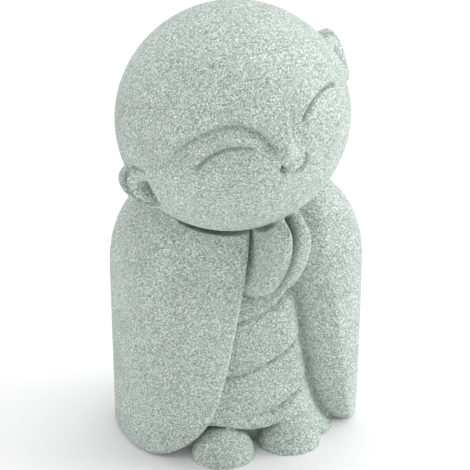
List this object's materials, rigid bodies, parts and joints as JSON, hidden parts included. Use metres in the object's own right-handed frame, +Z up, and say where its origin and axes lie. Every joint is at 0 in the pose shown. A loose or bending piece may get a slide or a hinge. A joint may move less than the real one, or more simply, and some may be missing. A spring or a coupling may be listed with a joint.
{
  "type": "stone jizo statue",
  "caption": "Small standing jizo figure cast in stone powder: round tilted smiling head, hands pressed together, long cloak and flat underside.",
  "frame": {"origin": "on the flat underside, below the middle of the body", "axes": "+Z up, the figure faces -Y, +X is on the figure's left-hand side"},
  "size_m": [0.058, 0.0569, 0.103],
  "materials": {
    "cast_stone": "grey-green cast stone powder, matt, with fine light and dark grain"
  },
  "bodies": {
    "root": {"jizo_figure": "cast_stone"}
  },
  "joints": []
}
